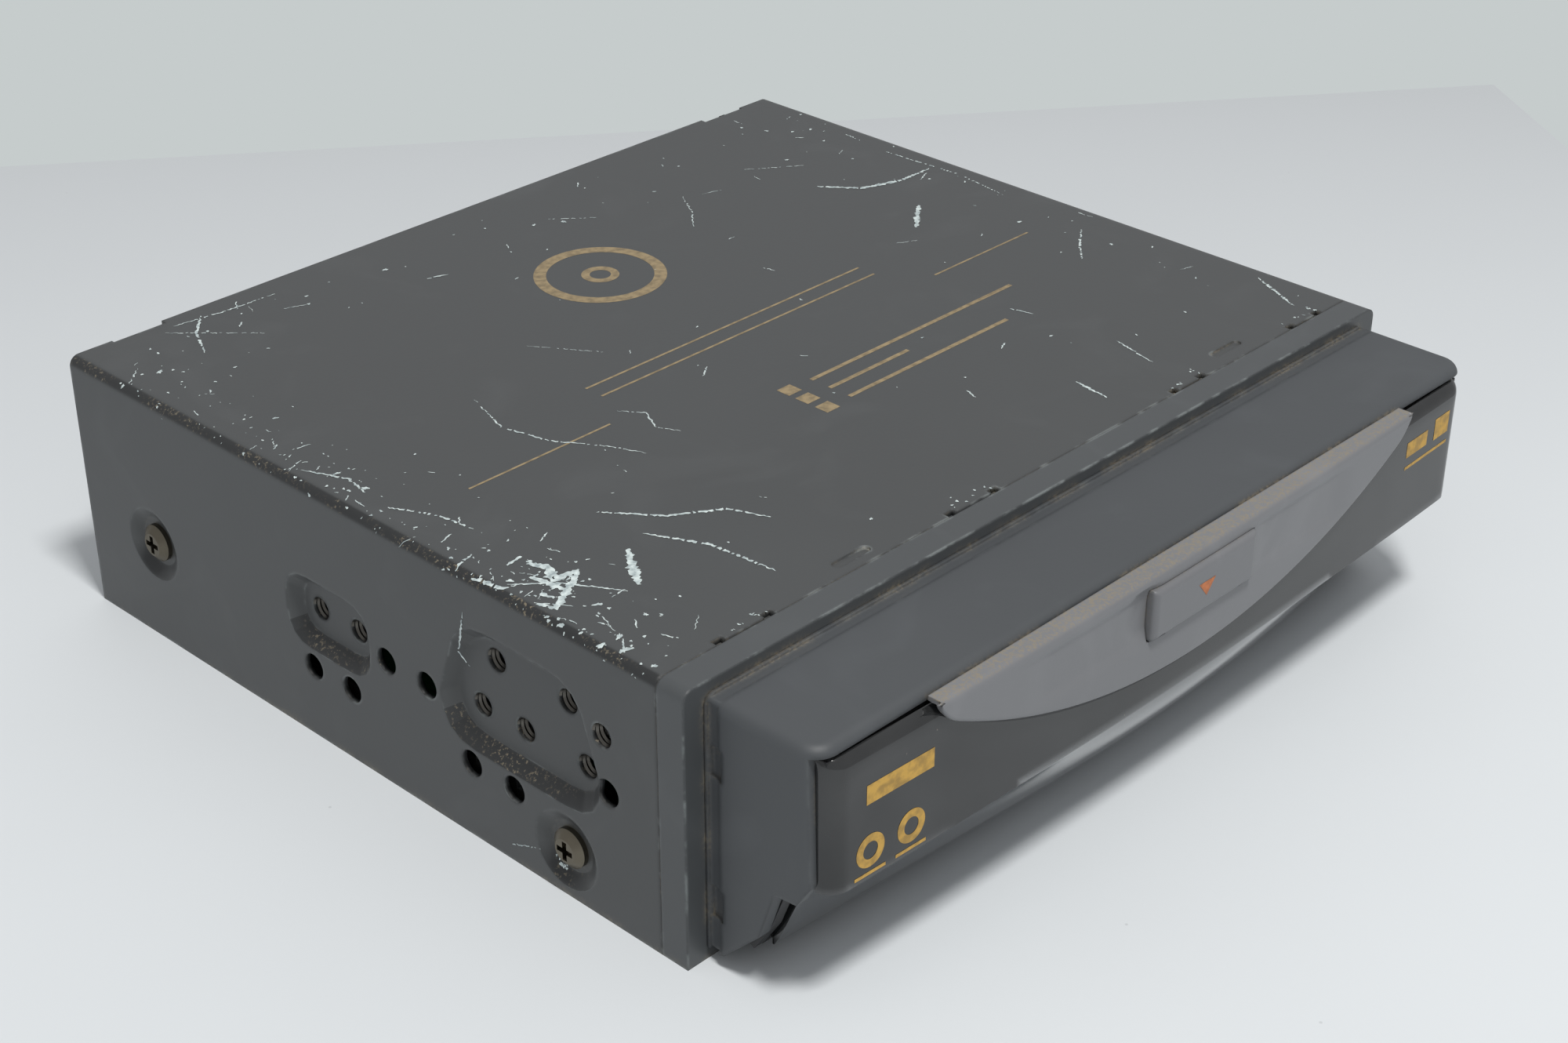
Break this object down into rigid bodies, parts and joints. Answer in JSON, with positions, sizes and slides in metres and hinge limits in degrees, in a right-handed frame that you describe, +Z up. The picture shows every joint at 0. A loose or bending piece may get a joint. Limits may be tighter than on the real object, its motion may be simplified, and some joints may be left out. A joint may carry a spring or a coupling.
{
  "type": "car cd head unit",
  "caption": "Slot-loading disc player for a dashboard, with a steel case, rear sockets and a gloss front door that folds down to bare the disc slot.",
  "frame": {"origin": "bottom centre of the whole unit's bounding box", "axes": "+X to the right seen from the front, +Y rearwards from the nose to the sockets, +Z up"},
  "size_m": [0.1788, 0.1914, 0.05],
  "materials": {
    "cover_paint": "satin dark grey paint, scratched",
    "zinc_sheet": "bright zinc plate, slightly dull",
    "collar_paint": "satin dark grey paint",
    "screw_nickel": "warm nickel plate, polished heads",
    "sink_black": "black anodised, matt",
    "socket_plastic": "matt black moulding",
    "socket_metal": "bright nickel plate",
    "contact_gold": "thin gold-coloured plate",
    "fuse_plastic": "dull red moulding",
    "circuit_board": "green lacquer over copper tracks",
    "chip_black": "moulded black epoxy",
    "can_sleeve": "dark blue sleeve",
    "deck_steel": "zinc-plated pressing",
    "soft_rubber": "soft black rubber",
    "spring_steel": "plain spring wire",
    "motor_can": "drawn steel can",
    "bright_steel": "ground and polished",
    "white_plastic": "natural white moulding",
    "black_plastic": "matt black moulding",
    "lens_clear": "clear moulded lens",
    "ribbon_white": "flat white film",
    "nose_paint": "fine matt soft-touch grey",
    "felt_black": "short black felt",
    "door_gloss": "piano black, polished",
    "trim_silver": "satin silver-grey paint",
    "button_grey": "satin grey paint",
    "display_glass": "dark liquid crystal panel"
  },
  "bodies": {
    "unit": {"upper_casing": "cover_paint", "side_screws": "screw_nickel", "lower_casing": "zinc_sheet", "front_collar": "collar_paint", "rear_panel": "zinc_sheet", "heat_sink": "sink_black", "rear_screws": "screw_nickel", "inner_screws": "screw_nickel", "antenna_socket": "socket_metal", "control_socket": "socket_plastic", "audio_block": "socket_plastic", "audio_shells": "socket_metal", "power_connector": "socket_plastic", "power_pins": "contact_gold", "blade_fuse": "fuse_plastic", "main_board": "circuit_board", "board_chips": "chip_black", "capacitors": "can_sleeve", "mechanism_frame": "deck_steel", "dampers": "soft_rubber", "deck_springs": "spring_steel", "traverse_plate": "deck_steel", "spindle_motor": "motor_can", "clamp_shaft": "bright_steel", "guide_rods": "bright_steel", "sled_motor": "motor_can", "roller_bushes": "white_plastic", "loading_motor": "motor_can", "disc_guide": "black_plastic", "servo_board": "circuit_board", "ribbon_sockets": "white_plastic", "ribbon_cable": "ribbon_white", "nose_shell": "nose_paint", "hinge_pins": "bright_steel", "slot_bezel": "black_plastic", "slot_felts": "felt_black", "key_switch": "chip_black", "front_board": "circuit_board", "damper_body": "black_plastic"},
    "door": {"door_front": "door_gloss", "door_carrier": "black_plastic", "crescent_trim": "trim_silver", "display": "display_glass", "door_board": "circuit_board", "button_springs": "spring_steel"},
    "button": {"open_button": "button_grey"},
    "latch": {"door_latch": "white_plastic"},
    "damper": {"damper_gear": "white_plastic"},
    "eject": {"eject_key": "button_grey"},
    "spindle": {"turntable": "black_plastic"},
    "arm": {"clamp_arm": "deck_steel"},
    "clamp_disc": {"clamper": "white_plastic"},
    "sled": {"pickup_sled": "black_plastic", "pickup_lens": "lens_clear"},
    "screw": {"lead_screw": "bright_steel"},
    "roller": {"loading_roller": "soft_rubber", "roller_shaft": "bright_steel", "roller_gear": "white_plastic"},
    "idler": {"idler_gear": "white_plastic"},
    "pinion": {"motor_pinion": "white_plastic"}
  },
  "joints": [
    {"name": "door_hinge", "type": "hinge", "parent": "unit", "child": "door", "pos_m": [0, -0.07645, 0.009], "axis": [1, 0, 0], "range_deg": [0, 90]},
    {"name": "open_button_press", "type": "slide", "parent": "door", "child": "button", "axis": [0, 1, 0], "range_m": [0, 0.0015], "stiffness_N_per_m": 500, "springref_m": -0.0006, "deforming": ["button_springs"]},
    {"name": "latch_slide", "type": "slide", "parent": "door", "child": "latch", "axis": [0, 0, 1], "range_m": [-0.0012, 0]},
    {"name": "damper_spin", "type": "hinge", "parent": "unit", "child": "damper", "pos_m": [-0.078, -0.06952, 0.013], "axis": [1, 0, 0], "range_deg": [-116, 0.5]},
    {"name": "eject_press", "type": "slide", "parent": "unit", "child": "eject", "axis": [0, 1, 0], "range_m": [0, 0.0008], "stiffness_N_per_m": 700, "springref_m": -0.0006},
    {"name": "turntable_spin", "type": "hinge", "parent": "unit", "child": "spindle", "pos_m": [0, 0.00375, 0.025], "axis": [0, 0, 1], "continuous": true},
    {"name": "clamp_arm_lower", "type": "hinge", "parent": "unit", "child": "arm", "pos_m": [0, 0.04975, 0.041], "axis": [1, 0, 0], "range_deg": [0, 6]},
    {"name": "clamper_spin", "type": "hinge", "parent": "arm", "child": "clamp_disc", "pos_m": [0, 0.00375, 0.036], "axis": [0, 0, 1], "continuous": true},
    {"name": "sled_slide", "type": "slide", "parent": "unit", "child": "sled", "axis": [1, 0, 0], "range_m": [0, 0.034]},
    {"name": "lead_screw_spin", "type": "hinge", "parent": "unit", "child": "screw", "pos_m": [0.04, -0.02075, 0.0236], "axis": [1, 0, 0], "range_deg": [-10, 4100]},
    {"name": "roller_spin", "type": "hinge", "parent": "unit", "child": "roller", "pos_m": [0, -0.04925, 0.0244], "axis": [1, 0, 0], "continuous": true},
    {"name": "idler_spin", "type": "hinge", "parent": "unit", "child": "idler", "pos_m": [-0.072, -0.03475, 0.0244], "axis": [1, 0, 0], "continuous": true},
    {"name": "pinion_spin", "type": "hinge", "parent": "unit", "child": "pinion", "pos_m": [-0.07, -0.02191, 0.02023], "axis": [1, 0, 0], "continuous": true}
  ],
  "couplings": [
    {"joint": "latch_slide", "follows": "open_button_press", "ratio": -0.8},
    {"joint": "damper_spin", "follows": "door_hinge", "ratio": -1.2857},
    {"joint": "lead_screw_spin", "follows": "sled_slide", "rad_per_m": 2094.4},
    {"joint": "idler_spin", "follows": "roller_spin", "ratio": -0.45},
    {"joint": "pinion_spin", "follows": "roller_spin", "ratio": 1.2857}
  ]
}
